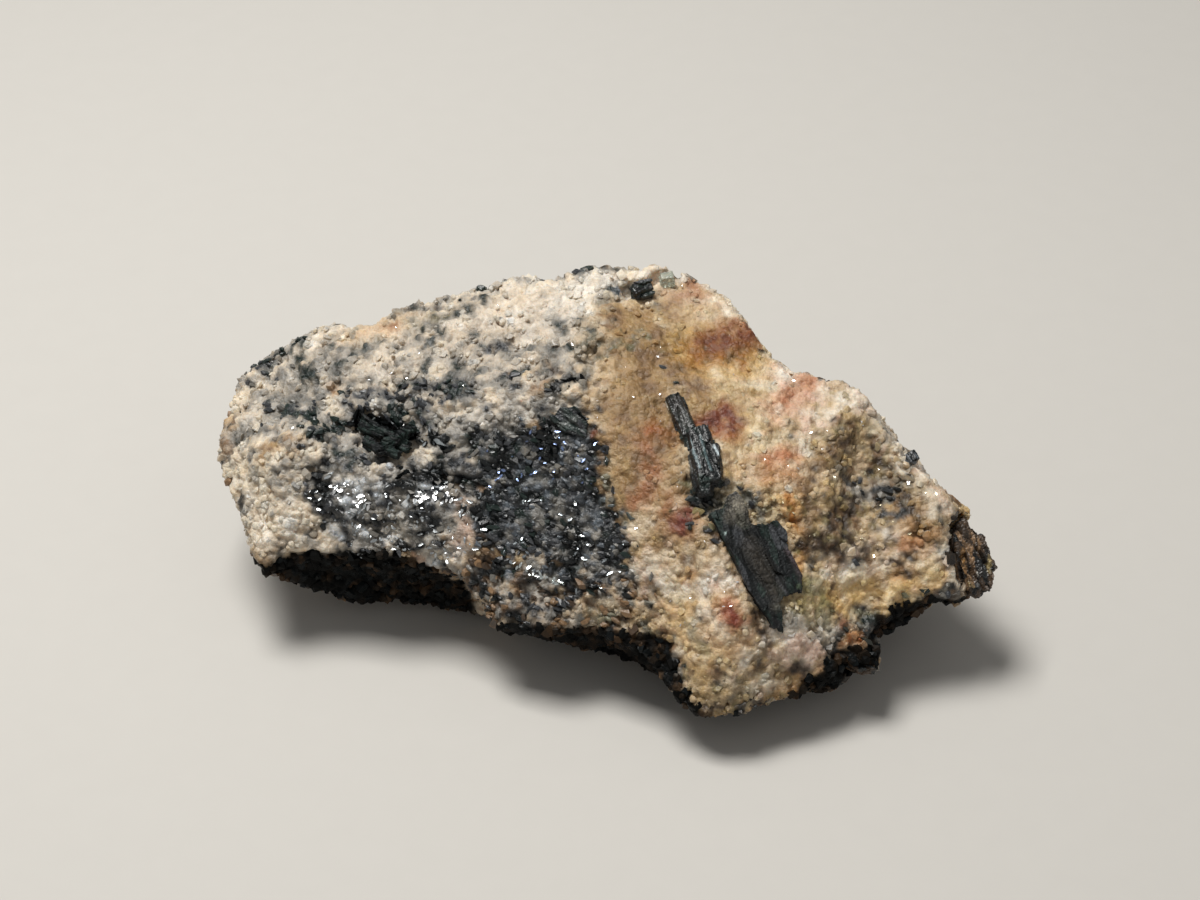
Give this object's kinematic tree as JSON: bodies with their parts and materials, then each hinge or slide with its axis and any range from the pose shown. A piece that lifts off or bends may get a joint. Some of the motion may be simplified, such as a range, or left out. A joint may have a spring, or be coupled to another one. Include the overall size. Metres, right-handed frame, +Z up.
{
  "type": "rough phenakite",
  "caption": "Loose unpolished hand specimen of sugary iron-stained rock with dark prismatic crystals grown in it.",
  "frame": {"origin": "bottom centre of the stone's box, on the flat broken base it lies on", "axes": "+X along the stone from its left nub to its right tip, -Y towards its steep dark face, +Z up"},
  "size_m": [0.0294, 0.0179, 0.0107],
  "materials": {
    "sugary_stone": "granular broken rock",
    "dark_mineral": "striated, half glossy",
    "brown_mica": "cleaved plates, glossy",
    "glassy_grain": "clear, cloudy inside"
  },
  "bodies": {
    "root": {"matrix": "sugary_stone", "dark_prism": "dark_mineral", "dark_blade": "dark_mineral", "lens_crystal": "dark_mineral", "hollow_crystals": "dark_mineral", "rim_crystal": "dark_mineral", "rim_grain": "glassy_grain", "edge_crystal": "dark_mineral", "tip_mica": "brown_mica", "lower_plate": "dark_mineral"}
  },
  "joints": []
}
